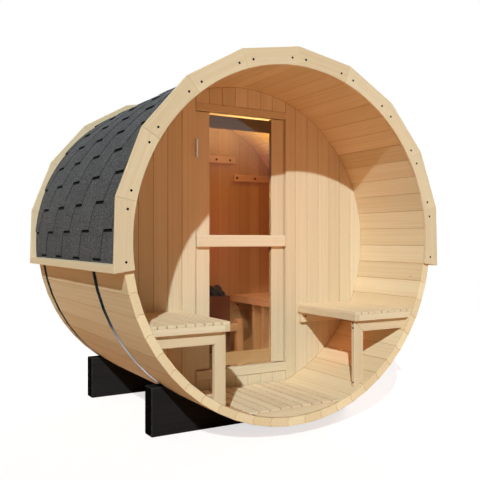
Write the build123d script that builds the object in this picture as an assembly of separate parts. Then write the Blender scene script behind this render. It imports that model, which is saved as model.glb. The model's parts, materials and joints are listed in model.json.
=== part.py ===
"""Barrel sauna with an open porch, a glazed door, a shingled roof and two cradles.

Millimetres. +X is to the right seen from the porch, +Y runs from the porch to the
back, +Z is up. The origin is on the ground, under the middle of the barrel.
"""
import os
from math import asin, cos, degrees, pi, sin, sqrt, tan

from build123d import *

# Barrel of staves
barrel_diameter = 1924.0
stave_count = 55
stave_thickness = 45.0
barrel_length = 1600.0
ground_clearance = 74.0
stave_gap = 0.3
bead_height = 6.5
bead_shoulder = 6.0

# Clearances shared by all pieces
seat_gap = 0.3
swing_gap = 5.0
overrun = 10.0

# Trim rings on both ends of the barrel
trim_thickness = 18.0
trim_cover = 43.0
trim_boards_per_side = 5
staves_per_trim_board = 3

# Roof skin, eave battens and hoops
roof_thickness = 14.5
eave_height = 36.0
hoop_thickness = 1.5
hoop_width = 48.0

# Cradles
cradle_half_length = 654.0
cradle_thickness = 95.0
cradle_height = 262.0
cradle_from_front = 402.0
cradle_from_back = 86.0
hoop_groove_side = 2.0

# End walls
porch_depth = 568.5
wall_thickness = 45.0
croze_depth = 5.5
back_wall_setback = 127.0

# Doorway
door_width = 612.0
door_foot_room = 172.0
door_head_room = 165.0
lintel_height = 41.0
lintel_proud = 4.0
sill_height = 51.0
sill_proud = 6.0

# Door leaf
leaf_thickness = 30.0
leaf_recess = 15.0
stile_width = 91.0
glass_thickness = 6.0
glass_setback = 5.5
glass_rebate = 9.0
glass_top_drop = 11.0
glass_bottom_rise = 7.0
top_rail_height = 73.0
bottom_rail_height = 77.0
crossbar_height = 69.0
crossbar_level = 2.0
crossbar_proud = 22.0
crossbar_round = 4.0

# Hinges
hinge_height = 104.0
hinge_inset = 164.0
hinge_plate = 1.5
hinge_reach = 44.0
knuckle_radius = 6.0
knuckle_proud = 8.0
hinge_pin_radius = 3.0
hinge_pin_gap = 0.06
hinge_end_gap = 0.5
hinge_middle_share = 0.4

# Back wall battens
batten_height = 50.0
batten_thickness = 28.0
upper_batten_drop = 323.0
upper_batten_half = 427.0
side_batten_drop = 450.0
side_batten_start = 418.0

# Duckboards
floor_rise = 55.0
floor_slat_width = 58.0
floor_slat_gap = 8.0
floor_slat_thickness = 12.0
floor_end_gap = 6.0
bearer_width = 45.0
bearer_inset = 2.0

# Benches
bench_height = 467.0
bench_inner = 399.0
bench_slat_least = 15.0
bench_slat_width = 42.0
bench_slat_gap = 7.0
bench_slat_thickness = 16.0
bench_front_inset = 8.0
bench_rail_height = 34.0
bench_rail_thickness = 28.0
frame_width = 62.0
frame_thickness = 27.0
frame_setback = 24.0
frame_inset = 13.0
cabin_frame_from_wall = 383.0
cabin_frame_pitch = 118.0

# Heater, its stones and its guard
heater_width = 400.0
heater_depth = 320.0
heater_back_gap = 28.0
heater_height = 489.0
heater_sheet = 3.0
heater_foot = 40.0
heater_tray = 80.0
stone_rise = 70.0
stone_slope_degrees = 50.0
guard_side_gap = 50.0
guard_front_gap = 56.0
guard_post = 45.0
guard_post_height = 335.0
guard_rail_level = 308.0
guard_rail_height = 54.0
guard_rail_thickness = 22.0

# Sizes that follow from those above
half_step = pi / stave_count
step_degrees = degrees(2 * half_step)
outer_apothem = barrel_diameter / 2
inner_apothem = outer_apothem - stave_thickness
outer_corner = outer_apothem / cos(half_step)
stave_face = 2 * outer_apothem * tan(half_step)
axis_height = outer_apothem + ground_clearance
front_end = -barrel_length / 2
back_end = barrel_length / 2
hoop_inner = outer_apothem + seat_gap
hoop_outer = hoop_inner + hoop_thickness
cradle_radius = outer_corner + seat_gap
cover_inner = hoop_outer / cos(half_step) + seat_gap
roof_outer = cover_inner + roof_thickness
trim_half = staves_per_trim_board * half_step
trim_apothem = outer_apothem + trim_cover
trim_end = pi / 2 - 2 * trim_half * trim_boards_per_side
eave_top = trim_end + eave_height / trim_apothem
lining_apothem = inner_apothem - seat_gap
head_apothem = inner_apothem + croze_depth - seat_gap
floor_level = floor_rise - inner_apothem
bench_level = floor_level + bench_height
door_bottom = door_foot_room - inner_apothem
door_top = inner_apothem - door_head_room
wall_front = front_end + porch_depth
wall_back = wall_front + wall_thickness
back_wall_back = back_end - back_wall_setback
back_wall_front = back_wall_back - wall_thickness
opening_half = door_width / 2 + swing_gap
opening_top = door_top + swing_gap
opening_bottom = door_bottom - swing_gap
leaf_front = wall_front + leaf_recess
leaf_back = leaf_front + leaf_thickness
glass_front = leaf_front + glass_setback
glass_back = glass_front + glass_thickness
glass_half = door_width / 2 - stile_width
glass_top = door_top - glass_top_drop
glass_bottom = door_bottom + glass_bottom_rise
hinge_x = -(door_width / 2 + swing_gap / 2)
hinge_y = wall_front - knuckle_proud
bench_rail_top = bench_level - bench_slat_thickness
bench_rail_bottom = bench_rail_top - bench_rail_height
floor_slat_bottom = floor_level - floor_slat_thickness
heater_top = floor_level + heater_height
heater_back = back_wall_front - heater_back_gap
heater_front = heater_back - heater_depth
guard_half_width = heater_width / 2 + guard_side_gap
guard_front = heater_front - guard_front_gap
guard_rail_top = floor_level + guard_rail_level
cradle_fronts = (front_end + cradle_from_front, back_end - cradle_from_back - cradle_thickness)

barrel_axis = Axis((0, 0, axis_height), (0, 1, 0))


def on_circle(radius, angle):
    """Point of the barrel's cross-section, at an angle from the right."""
    return (radius * cos(angle), radius * sin(angle))


def section(depth):
    """Cross-section plane of the barrel, with its zero on the barrel's axis."""
    return Plane(origin=(0, depth, axis_height), x_dir=(1, 0, 0), z_dir=(0, -1, 0))


def along_barrel(sketch, start, end):
    """Prism of a cross-section sketch between two depths."""
    return extrude(section(end) * sketch, amount=end - start)


def rectangle(x_low, x_high, z_low, z_high):
    """Upright rectangle in the cross-section."""
    middle = Pos((x_low + x_high) / 2, (z_low + z_high) / 2)
    return middle * Rectangle(x_high - x_low, z_high - z_low)


def block(x_low, x_high, y_low, y_high, z_low, z_high):
    """Square-edged block between two depths, heights counted from the axis."""
    return along_barrel(rectangle(x_low, x_high, z_low, z_high), y_low, y_high)


def stave_polygon(apothem):
    """Polygon with one side on each stave and a corner on each stave joint."""
    return RegularPolygon(apothem, stave_count, major_radius=False, rotation=degrees(pi / 2))


def inside_lining(shape, y_low, y_high):
    """Part of a shape that fits inside the barrel's lining."""
    return shape & along_barrel(stave_polygon(lining_apothem), y_low, y_high)


def lining_half_width(level):
    """Half the width between the linings at a height."""
    return sqrt(lining_apothem**2 - level**2)


def mirrored(shape):
    """The same piece on the other side of the barrel."""
    return mirror(shape, about=Plane.YZ)


def arc_band(inner, outer, start, end):
    """Sector of a ring in the cross-section."""
    middle = (start + end) / 2
    outline = [
        ThreePointArc(*(on_circle(outer, angle) for angle in (start, middle, end))),
        Line(on_circle(outer, end), on_circle(inner, end)),
        ThreePointArc(*(on_circle(inner, angle) for angle in (end, middle, start))),
        Line(on_circle(inner, start), on_circle(outer, start)),
    ]
    return make_face(outline)


def stave_edge(side):
    """Outer corner, two shoulders, arc middle and inner corner of a stave's edge."""
    along = (side * sin(half_step), cos(half_step))
    across = (cos(half_step), -side * sin(half_step))
    shift = -side * stave_gap / 2

    def at(height, bulge):
        radius = (inner_apothem + height) / cos(half_step)
        return (along[0] * radius + across[0] * (bulge + shift),
                along[1] * radius + across[1] * (bulge + shift))

    levels = (stave_thickness, stave_thickness - bead_shoulder, stave_thickness / 2, bead_shoulder, 0)
    bulges = (0, 0, bead_height, 0, 0)
    return [at(level, bulge) for level, bulge in zip(levels, bulges)]


def stave_profile():
    """Flat-faced stave with a bead on one edge and the matching cove on the other."""
    bead = stave_edge(1)
    cove = stave_edge(-1)
    outline = [Line(cove[0], bead[0])]
    for edge in (bead, cove):
        outline += [Line(edge[0], edge[1]), ThreePointArc(*edge[1:4]), Line(edge[3], edge[4])]
    outline.append(Line(bead[4], cove[4]))
    return make_face(outline)


def stave():
    """Top stave, with the two grooves that hold the end walls."""
    body = along_barrel(stave_profile(), front_end, back_end)
    groove_top = inner_apothem + croze_depth
    for start, end in ((wall_front, wall_back), (back_wall_front, back_wall_back)):
        body -= block(-stave_face, stave_face, start - seat_gap, end + seat_gap,
                      inner_apothem - overrun, groove_top)
    return body


def shell_group(group, group_count):
    """Neighbouring staves of one of several like groups, clockwise from the top."""
    model = stave()
    first = round(group * stave_count / group_count)
    last = round((group + 1) * stave_count / group_count)
    return [model.rotate(barrel_axis, (index + 1 / 2) * step_degrees) for index in range(first, last)]


def trim_board():
    """Trim board with a straight outer edge, mitred ends and a round inner edge."""
    inset = stave_gap / 2
    slope = tan(trim_half)
    inner_half = asin((inner_apothem * sin(trim_half) - inset) / inner_apothem)
    inner_left = on_circle(inner_apothem, pi / 2 + inner_half)
    inner_right = on_circle(inner_apothem, pi / 2 - inner_half)
    outer_right = (trim_apothem * slope - inset, trim_apothem)
    outer_left = (inset - trim_apothem * slope, trim_apothem)
    outline = [
        Polyline(inner_right, outer_right, outer_left, inner_left),
        ThreePointArc(inner_left, (0, inner_apothem), inner_right),
    ]
    return make_face(outline)


def trim_ring(start, end):
    """Boards of one trim ring, from eave to eave over the top."""
    board = along_barrel(trim_board(), start, end)
    board_degrees = degrees(2 * trim_half)
    places = range(-trim_boards_per_side, trim_boards_per_side)
    return [board.rotate(barrel_axis, (place + 1 / 2) * board_degrees) for place in places]


def roof_half():
    """Right half of the roof skin, from the eave batten to the ridge."""
    return along_barrel(arc_band(cover_inner, roof_outer, eave_top, pi / 2), front_end, back_end)


def eave_batten():
    """Right eave batten, flush with the trim's outer edge at its lower corner."""
    middle = trim_end + trim_half
    outer_low = on_circle(trim_apothem / cos(middle - trim_end), trim_end)
    outer_high = on_circle(trim_apothem / cos(middle - eave_top), eave_top)
    outline = [
        Polyline(on_circle(cover_inner, trim_end), outer_low, outer_high, on_circle(cover_inner, eave_top)),
        ThreePointArc(on_circle(cover_inner, eave_top), on_circle(cover_inner, (trim_end + eave_top) / 2),
                      on_circle(cover_inner, trim_end)),
    ]
    return along_barrel(make_face(outline), front_end, back_end)


def hoop(cradle_front):
    """Steel band pulled flat on to the staves, over the middle of a cradle."""
    middle = cradle_front + cradle_thickness / 2
    ring = stave_polygon(hoop_outer) - stave_polygon(hoop_inner)
    return along_barrel(ring, middle - hoop_width / 2, middle + hoop_width / 2)


def cradle(front):
    """Beam hollowed to the barrel's round, with a groove that clears the hoop."""
    back = front + cradle_thickness
    middle = (front + back) / 2
    groove_half = hoop_width / 2 + hoop_groove_side
    body = block(-cradle_half_length, cradle_half_length, front, back, -axis_height, cradle_height - axis_height)
    body -= along_barrel(Circle(cradle_radius), front - overrun, back + overrun)
    return body - along_barrel(Circle(cover_inner), middle - groove_half, middle + groove_half)


def head(start, end):
    """Wall that fills the barrel between two depths, seated in the staves' grooves."""
    return along_barrel(stave_polygon(head_apothem), start, end)


def front_wall_pieces():
    """Wall beside, over and under the doorway."""
    disc = head(wall_front, wall_back)
    depths = (wall_front - overrun, wall_back + overrun)
    reach = head_apothem + overrun
    over = opening_top + lintel_height + seat_gap
    under = opening_bottom - sill_height - seat_gap
    inner_half = opening_half - seat_gap
    right = disc & block(opening_half, reach, *depths, -reach, reach)
    return {
        "front_wall_left": mirrored(right),
        "front_wall_right": right,
        "front_wall_over_door": disc & block(-inner_half, inner_half, *depths, over, reach),
        "front_wall_under_door": disc & block(-inner_half, inner_half, *depths, -reach, under),
    }


def lintel():
    """Head board over the doorway."""
    half = opening_half - seat_gap
    return block(-half, half, wall_front - lintel_proud, wall_back, opening_top, opening_top + lintel_height)


def sill():
    """Sill board under the doorway."""
    half = opening_half - seat_gap
    return block(-half, half, wall_front - sill_proud, wall_back, opening_bottom - sill_height, opening_bottom)


def back_wall_battens():
    """Upper batten and the two side battens on the back wall's inner face."""
    depths = (back_wall_front - batten_thickness, back_wall_front)
    half = batten_height / 2
    upper_level = inner_apothem - upper_batten_drop
    side_level = inner_apothem - side_batten_drop
    upper = block(-upper_batten_half, upper_batten_half, *depths,
                  upper_level - half, upper_level + half)
    side = block(side_batten_start, inner_apothem, *depths, side_level - half, side_level + half)
    side = inside_lining(side, *depths)
    return [upper, side, mirrored(side)]


def door_stile():
    """Right stile, with the groove that holds the glass."""
    body = block(glass_half, door_width / 2, leaf_front, leaf_back, door_bottom, door_top)
    groove = block(glass_half - overrun, glass_half + glass_rebate + seat_gap,
                   glass_front - seat_gap, glass_back + seat_gap,
                   glass_bottom - seat_gap, glass_top + seat_gap)
    return body - groove


def door_rail(low, high):
    """Cross rail behind the glass, between the stiles."""
    return block(-glass_half, glass_half, glass_back + seat_gap, leaf_back, low, high)


def door_glass():
    """Pane held by its two long edges."""
    half = glass_half + glass_rebate
    return block(-half, half, glass_front, glass_back, glass_bottom, glass_top)


def door_crossbar():
    """Push and pull bar across the leaf, with eased front edges."""
    half = door_width / 2
    low = crossbar_level - crossbar_height / 2
    body = block(-half, half, leaf_front - crossbar_proud, leaf_front, low, low + crossbar_height)
    front_edges = body.faces().sort_by(Axis.Y)[0].edges()
    return fillet(front_edges, crossbar_round)


def knuckle(low, high, radius):
    """Upright round of a hinge between two heights."""
    foot = Pos(hinge_x, hinge_y, axis_height + low)
    return foot * Cylinder(radius, high - low, align=(Align.CENTER, Align.CENTER, Align.MIN))


def hinge_halves(middle):
    """Jamb half with its pin, and leaf half, of a butt hinge at a height."""
    low = middle - hinge_height / 2
    high = middle + hinge_height / 2
    inner_half = hinge_height * hinge_middle_share / 2
    inner_low = middle - inner_half
    inner_high = middle + inner_half
    jamb_face = -opening_half
    edge_face = -door_width / 2
    back = hinge_y + hinge_reach
    bore_radius = hinge_pin_radius + hinge_pin_gap
    clear_radius = knuckle_radius + hinge_end_gap

    jamb = block(jamb_face, jamb_face + hinge_plate, hinge_y, back, low, high)
    jamb -= knuckle(inner_low - hinge_end_gap, inner_high + hinge_end_gap, clear_radius)
    for ends in ((low, inner_low - hinge_end_gap), (inner_high + hinge_end_gap, high)):
        jamb += knuckle(*ends, knuckle_radius)
    jamb += knuckle(low, high, hinge_pin_radius)

    leaf = block(edge_face - hinge_plate, edge_face, hinge_y, back, low, high)
    leaf -= knuckle(low - overrun, inner_low, clear_radius)
    leaf -= knuckle(inner_high, high + overrun, clear_radius)
    leaf += knuckle(inner_low, inner_high, knuckle_radius)
    leaf -= knuckle(low - overrun, high + overrun, bore_radius)
    return jamb, leaf


def duckboard(start, end):
    """Floor slats between two depths, the outer ones bevelled to the lining."""
    pitch = floor_slat_width + floor_slat_gap
    count = int((2 * lining_half_width(floor_level) + floor_slat_gap) / pitch)
    first = -(count * pitch - floor_slat_gap) / 2
    slats = []
    for index in range(count):
        low = first + index * pitch
        slat = block(low, low + floor_slat_width, start, end, floor_slat_bottom, floor_level)
        slats.append(inside_lining(slat, start, end))
    return slats


def bearers(start, end, count):
    """Round-bottomed cross bearers that lift the slats off the lining."""
    first = start + bearer_inset
    pitch = (end - start - 2 * bearer_inset - bearer_width) / (count - 1)
    pieces = []
    for index in range(count):
        front = first + index * pitch
        back = front + bearer_width
        blank = block(-inner_apothem, inner_apothem, front, back, -inner_apothem, floor_slat_bottom)
        pieces.append(inside_lining(blank, front, back))
    return pieces


def bench_slats(start, end):
    """Seat slats of a right-hand bench, the outermost bevelled to the lining."""
    pitch = bench_slat_width + bench_slat_gap
    room = lining_half_width(bench_rail_top) - bench_inner
    count = int((room - bench_slat_least) / pitch) + 1
    slats = []
    for index in range(count):
        low = bench_inner + index * pitch
        slat = block(low, low + bench_slat_width, start, end, bench_rail_top, bench_level)
        slats.append(inside_lining(slat, start, end))
    return slats


def bench_rails(start, end):
    """Edge rail along a right-hand bench and the cross rails under its two ends."""
    edge_back = bench_inner + bench_rail_thickness
    edge = block(bench_inner, edge_back, start, end, bench_rail_bottom, bench_rail_top)
    pieces = [edge]
    for front in (start, end - bench_rail_thickness):
        back = front + bench_rail_thickness
        cross = block(edge_back + seat_gap, inner_apothem, front, back, bench_rail_bottom, bench_rail_top)
        pieces.append(inside_lining(cross, front, back))
    return pieces


def bench_frame(front):
    """Rail and leg of a right-hand bench support, mitred at their corner."""
    back = front + frame_thickness
    x_low = bench_inner + frame_inset
    x_high = x_low + frame_width
    top = bench_rail_bottom
    low = top - frame_width
    slit = seat_gap / sqrt(2)
    rail = Polyline((x_low + seat_gap, top), (inner_apothem, top), (inner_apothem, low), (x_high + slit, low),
                    (x_low + seat_gap, top), close=False)
    leg = Polyline((x_low, top - slit), (x_high, low - slit), (x_high, -inner_apothem),
                   (x_low, -inner_apothem), (x_low, top - slit), close=False)
    prisms = [along_barrel(make_face(outline), front, back) for outline in (rail, leg)]
    return [inside_lining(prism, front, back) for prism in prisms]


def bench_cleat(wall):
    """Board screwed to a wall in front of it, under the end of a right-hand bench."""
    front = wall - frame_thickness
    blank = block(bench_inner + frame_inset, inner_apothem, front, wall,
                  bench_rail_bottom - frame_width, bench_rail_bottom)
    return inside_lining(blank, front, wall)


def heater():
    """Sheet steel casing on four feet, open below, with a stone tray on top."""
    half = heater_width / 2
    low = floor_level + heater_foot
    tray_floor = heater_top - heater_tray
    body = block(-half, half, heater_front, heater_back, low, heater_top)
    for hollow in ((tray_floor, heater_top + overrun), (low - overrun, tray_floor - heater_sheet)):
        body -= block(heater_sheet - half, half - heater_sheet,
                      heater_front + heater_sheet, heater_back - heater_sheet, *hollow)
    for x_low in (-half, half - heater_foot):
        for y_low in (heater_front, heater_back - heater_foot):
            body += block(x_low, x_low + heater_foot, y_low, y_low + heater_foot, floor_level, low)
    return body


def heater_stones():
    """Heaped stones in the tray, as one mound."""
    inset = heater_sheet + seat_gap
    width = heater_width - 2 * inset
    depth = heater_depth - 2 * inset
    middle = (heater_front + heater_back) / 2
    brim = axis_height + heater_top
    bed = Plane((0, middle, brim - heater_tray + seat_gap))
    base = extrude(bed * Rectangle(width, depth), amount=heater_tray - seat_gap)
    foot = Plane((0, middle, brim)) * Rectangle(width, depth)
    return base + extrude(foot, amount=stone_rise, taper=stone_slope_degrees)


def heater_guard():
    """Two posts, a front rail and two side rails round the heater."""
    half_post = guard_post / 2
    half_rail = guard_rail_thickness / 2
    post_back = guard_front + guard_post
    levels = (guard_rail_top - guard_rail_height, guard_rail_top)
    post = block(guard_half_width - half_post, guard_half_width + half_post, guard_front, post_back,
                 floor_level, floor_level + guard_post_height)
    front_half = guard_half_width - half_post - seat_gap
    front_rail = block(-front_half, front_half, guard_front, guard_front + guard_rail_thickness, *levels)
    side_rail = block(guard_half_width - half_rail, guard_half_width + half_rail,
                      post_back + seat_gap, back_wall_front, *levels)
    return [post, mirrored(post), front_rail, side_rail, mirrored(side_rail)]


def build_nodes():
    """All pieces by node name."""
    nodes = {}
    groups = ("shell_upper_right", "shell_lower_right", "shell_bottom", "shell_lower_left", "shell_upper_left")
    for index, name in enumerate(groups):
        nodes[name] = shell_group(index, len(groups))

    nodes["front_trim"] = trim_ring(front_end - trim_thickness, front_end)
    nodes["rear_trim"] = trim_ring(back_end, back_end + trim_thickness)
    nodes["roof_right"] = [roof_half()]
    nodes["roof_left"] = [mirrored(roof_half())]
    nodes["eave_right"] = [eave_batten()]
    nodes["eave_left"] = [mirrored(eave_batten())]
    for name, front in zip(("front", "rear"), cradle_fronts):
        nodes["hoop_" + name] = [hoop(front)]
        nodes["cradle_" + name] = [cradle(front)]

    for name, piece in front_wall_pieces().items():
        nodes[name] = [piece]
    nodes["door_lintel"] = [lintel()]
    nodes["door_sill"] = [sill()]
    nodes["back_wall"] = [head(back_wall_front, back_wall_back)]
    nodes["back_wall_battens"] = back_wall_battens()

    nodes["door_stiles"] = [door_stile(), mirrored(door_stile())]
    nodes["door_rails"] = [door_rail(glass_top - top_rail_height, glass_top),
                           door_rail(glass_bottom, glass_bottom + bottom_rail_height)]
    nodes["door_glass"] = [door_glass()]
    nodes["door_crossbar"] = [door_crossbar()]
    hinge_drop = hinge_inset + hinge_height / 2
    hinges = [hinge_halves(middle) for middle in (door_bottom + hinge_drop, door_top - hinge_drop)]
    nodes["hinges_jamb"] = [jamb for jamb, leaf in hinges]
    nodes["hinges_leaf"] = [leaf for jamb, leaf in hinges]

    porch = (front_end + floor_end_gap, wall_front - floor_end_gap)
    cabin = (wall_back + floor_end_gap, back_wall_front - floor_end_gap)
    for name, ends, count in (("porch", porch, 3), ("cabin", cabin, 4)):
        nodes[name + "_floor_slats"] = duckboard(*ends)
        nodes[name + "_floor_bearers"] = bearers(*ends, count)

    seat = (front_end + bench_front_inset, wall_front - seat_gap)
    pieces = {"slats": bench_slats(*seat), "rails": bench_rails(*seat),
              "frame": bench_frame(seat[0] + frame_setback) + [bench_cleat(seat[1])]}
    for name, solids in pieces.items():
        nodes["right_porch_bench_" + name] = solids
        nodes["left_porch_bench_" + name] = [mirrored(solid) for solid in solids]

    seat = (wall_back + seat_gap, back_wall_front - seat_gap)
    first_frame = wall_back + cabin_frame_from_wall
    cleats = [bench_cleat(seat[0] + frame_thickness), bench_cleat(seat[1])]
    nodes["cabin_bench_slats"] = bench_slats(*seat)
    nodes["cabin_bench_rails"] = bench_rails(*seat)
    nodes["cabin_bench_frames"] = bench_frame(first_frame) + bench_frame(first_frame + cabin_frame_pitch) + cleats

    nodes["heater_body"] = [heater()]
    nodes["heater_stones"] = [heater_stones()]
    nodes["heater_guard"] = heater_guard()
    return nodes


def main():
    os.makedirs("parts", exist_ok=True)
    for name, pieces in build_nodes().items():
        solids = [solid for piece in pieces for solid in piece.solids()]
        export_step(Compound(solids), os.path.join("parts", name + ".step"))


main()
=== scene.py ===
import json
import math

import bmesh
import bpy
import numpy as np
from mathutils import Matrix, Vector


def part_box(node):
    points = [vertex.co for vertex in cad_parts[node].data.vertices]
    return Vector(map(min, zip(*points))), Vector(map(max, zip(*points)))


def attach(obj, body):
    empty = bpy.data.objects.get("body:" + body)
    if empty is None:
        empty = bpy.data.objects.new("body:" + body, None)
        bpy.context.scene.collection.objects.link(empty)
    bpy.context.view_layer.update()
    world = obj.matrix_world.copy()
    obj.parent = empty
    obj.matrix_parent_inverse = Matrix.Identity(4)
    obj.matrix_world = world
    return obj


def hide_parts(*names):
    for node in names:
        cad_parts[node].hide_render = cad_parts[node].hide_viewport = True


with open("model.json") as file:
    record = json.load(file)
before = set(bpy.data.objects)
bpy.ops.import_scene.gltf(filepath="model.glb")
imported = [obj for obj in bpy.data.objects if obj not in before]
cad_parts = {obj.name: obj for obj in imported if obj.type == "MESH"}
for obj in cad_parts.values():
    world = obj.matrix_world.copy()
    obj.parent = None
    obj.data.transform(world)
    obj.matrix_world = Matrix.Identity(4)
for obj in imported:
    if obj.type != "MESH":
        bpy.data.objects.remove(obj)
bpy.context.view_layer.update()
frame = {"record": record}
rng = np.random.default_rng(41)
xAxis, yAxis, zAxis = np.eye(3)

# The barrel's round, read from the frame. Heights in an outline count from the barrel's axis.
barrel = dict(staves=55, thickness=0.045, gap=0.0003, seat=0.0003, hoopThickness=0.0015)
halfStep = math.pi / barrel["staves"]
hoopLow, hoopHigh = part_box("hoop_front")
hoopOuter = (hoopHigh.z - hoopLow.z) / (1 + 1 / math.cos(halfStep))
axisZ = hoopLow.z + hoopOuter
outerApothem = hoopOuter - barrel["hoopThickness"] - barrel["seat"]
innerApothem = outerApothem - barrel["thickness"]
lining = innerApothem - barrel["seat"]
coverInner = hoopOuter / math.cos(halfStep) + barrel["seat"]
barrelFront, barrelBack = (corner.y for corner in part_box("shell_bottom"))

# Mesh tools. A part is a dictionary of vertices, quads, end caps and a mark on the eased faces.
rims = dict(leastTurn=math.radians(20), edgeShare=0.45, cornerShare=1.2, steps=3, liningSteps=6)
logs = dict(pithAside=(0.06, 0.28), pithDepth=0.08, length=12.0, toneLimit=1.4)
squareOn = 0.9  # cosine above which a face counts as facing a side


def roundCorners(outline, radius):
    # Each corner that turns enough becomes the parabola (1-s)^2 before + 2s(1-s) corner + s^2 after.
    points = np.asarray(outline, float)
    ahead = np.roll(points, -1, 0) - points
    length = np.linalg.norm(ahead, axis=1)
    ahead = ahead / length[:, None]
    behind = np.roll(ahead, 1, 0)
    cross = behind[:, 0] * ahead[:, 1] - behind[:, 1] * ahead[:, 0]
    turn = np.abs(np.arctan2(cross, (behind * ahead).sum(1)))
    corner = (turn > rims["leastTurn"])[:, None]
    room = rims["edgeShare"] * np.minimum(length, np.roll(length, 1))
    reach = np.minimum(radius * np.tan(turn / 2), room)[:, None]
    step = np.arange(rims["steps"])
    s = np.linspace(0, 1, rims["steps"])[None, :, None]
    before, after = (points - behind * reach)[:, None], (points + ahead * reach)[:, None]
    curve = (1 - s) ** 2 * before + 2 * s * (1 - s) * points[:, None] + s ** 2 * after
    curve = np.where(corner[..., None], curve, points[:, None])
    keep = corner | (step == 0)
    return curve[keep], (corner & (step < rims["steps"] - 1))[keep]


def inwardShift(outline):
    # Shift for an inset of one: the sum of the two edge normals, times two over its squared length.
    ahead = np.roll(outline, -1, 0) - outline
    ahead = ahead / np.linalg.norm(ahead, axis=1)[:, None]
    both = ahead + np.roll(ahead, 1, 0)
    normal = np.stack([-both[:, 1], both[:, 0]], 1)
    return 2 * normal / (normal ** 2).sum(1)[:, None]


def skinRings(rings, eased=None, turned=False):
    # Quads between neighbouring rings of points and one cap on the first and on the last ring.
    stations, count = rings.shape[:2]
    ring = np.arange(count)
    after = np.roll(ring, -1)
    base = count * np.arange(stations - 1)[:, None]
    quads = np.stack([base + ring, base + count + ring, base + count + after, base + after], -1).reshape(-1, 4)
    caps = [ring, (count * (stations - 1) + ring)[::-1]]
    if turned:
        quads, caps = quads[:, ::-1], [cap[::-1] for cap in caps]
    edge = np.zeros(len(quads)) if eased is None else eased.ravel().astype(float)
    return dict(verts=rings.reshape(-1, 3), quads=quads, caps=caps, edge=edge)


def easedPrism(outline, start, end, ease, endEase=None, upright=False):
    # A prism with quarter-round rims: at the angle t the outline is inset by ease (1 - sin t)
    # and stands ease (1 - cos t) in from the end. It runs along y, or along z where it is upright.
    endEase = ease if endEase is None else endEase
    rounded, onRound = roundCorners(outline, rims["cornerShare"] * ease)
    t = np.linspace(0, math.pi / 2, rims["steps"])
    inset, sunk = 1 - np.sin(t), 1 - np.cos(t)
    insets = np.concatenate([ease * inset, endEase * inset[::-1]])
    places = np.concatenate([start + ease * sunk, end - endEase * sunk[::-1]])
    outlines = rounded[None] + insets[:, None, None] * inwardShift(rounded)[None]
    onRim = np.arange(len(places) - 1) != rims["steps"] - 1
    stations = np.broadcast_to(places[:, None], outlines.shape[:2])
    x, z = outlines[..., 0], outlines[..., 1]
    rings = np.stack([x, z, stations] if upright else [x, stations, axisZ + z], -1)
    return skinRings(rings, onRim[:, None] | onRound[None, :], upright)


def turnOutline(outline, angle):
    # Turn about the barrel's axis, anticlockwise seen from the porch.
    c, s = math.cos(angle), math.sin(angle)
    return outline @ np.array([[c, s], [-s, c]])


def mirrorOutline(outline):
    # The same outline on the left side, with its order kept anticlockwise.
    return (np.asarray(outline) * [-1, 1])[::-1]


def rectangle(xLow, xHigh, zLow, zHigh):
    # Four corners, anticlockwise.
    return np.array([(xLow, zLow), (xHigh, zLow), (xHigh, zHigh), (xLow, zHigh)])


def arcPoints(radius, start, end, count):
    # Points on a circle about the axis, at even angles.
    angles = np.linspace(start, end, count)
    return radius * np.stack([np.cos(angles), np.sin(angles)], 1)


def aroundAxis(angle, radius, y):
    # One ring of points for each angle about the barrel's axis, at the given radii and depths.
    x, z = np.cos(angle)[:, None] * radius, np.sin(angle)[:, None] * radius
    return np.stack([x, np.broadcast_to(y, x.shape), axisZ + z], -1)


def liningReach(level):
    # Half the width between the linings at a height.
    return math.sqrt(lining ** 2 - level ** 2)


def cutByLining(xLow, xHigh, zLow, zHigh):
    # A right-hand rectangle whose corner far from the axis is cut along the lining's round.
    below = zLow + zHigh < 0
    far, near = (zLow, zHigh) if below else (zHigh, zLow)
    if math.hypot(xHigh, far) <= lining:
        return rectangle(xLow, xHigh, zLow, zHigh)
    start = math.atan2(far, liningReach(far))
    tail = []
    if math.hypot(xHigh, near) < lining:
        end = math.copysign(math.acos(xHigh / lining), far)
        tail = [(xHigh, near)]
    else:
        end = math.atan2(near, liningReach(near))
    arc = arcPoints(lining, start, end, rims["liningSteps"])
    outline = np.array([(xLow, far), *arc, *tail, (xLow, near)])
    return outline if below else outline[::-1]


def faceNormals(part):
    # Unit normals of the quads, from their diagonals, and of the caps, from their fans.
    corners = part["verts"][part["quads"]]
    normals = [np.cross(corners[:, 2] - corners[:, 0], corners[:, 3] - corners[:, 1])]
    for cap in part["caps"]:
        spokes = part["verts"][cap] - part["verts"][cap[0]]
        normals.append(np.cross(spokes, np.roll(spokes, -1, 0)).sum(0)[None])
    normals = np.concatenate(normals)
    return normals / np.maximum(np.linalg.norm(normals, axis=1), 1e-12)[:, None]


def addGrain(part, along, across):
    # Wood coordinates in metres: across the face, through the thickness and along the grain,
    # counted from the pith of the log that the board was sawn from.
    along, across = np.asarray(along, float), np.asarray(across, float)
    basis = np.stack([across, np.cross(along, across), along], 1)
    depth = logs["pithDepth"]
    pith = (rng.choice((-1, 1)) * rng.uniform(*logs["pithAside"]), rng.uniform(-depth, depth),
            rng.uniform(0, logs["length"]))
    part["grain"] = (part["verts"] - part["verts"].mean(0)) @ basis + pith
    part["tone"] = float(np.clip(rng.normal(0, 1), -logs["toneLimit"], logs["toneLimit"]))
    part["end"] = np.abs(faceNormals(part) @ along)
    return part


def board(outline, start, end, along, across, ease, endEase=None, upright=False):
    # An eased prism of wood.
    return addGrain(easedPrism(outline, start, end, ease, endEase, upright), along, across)


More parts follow.
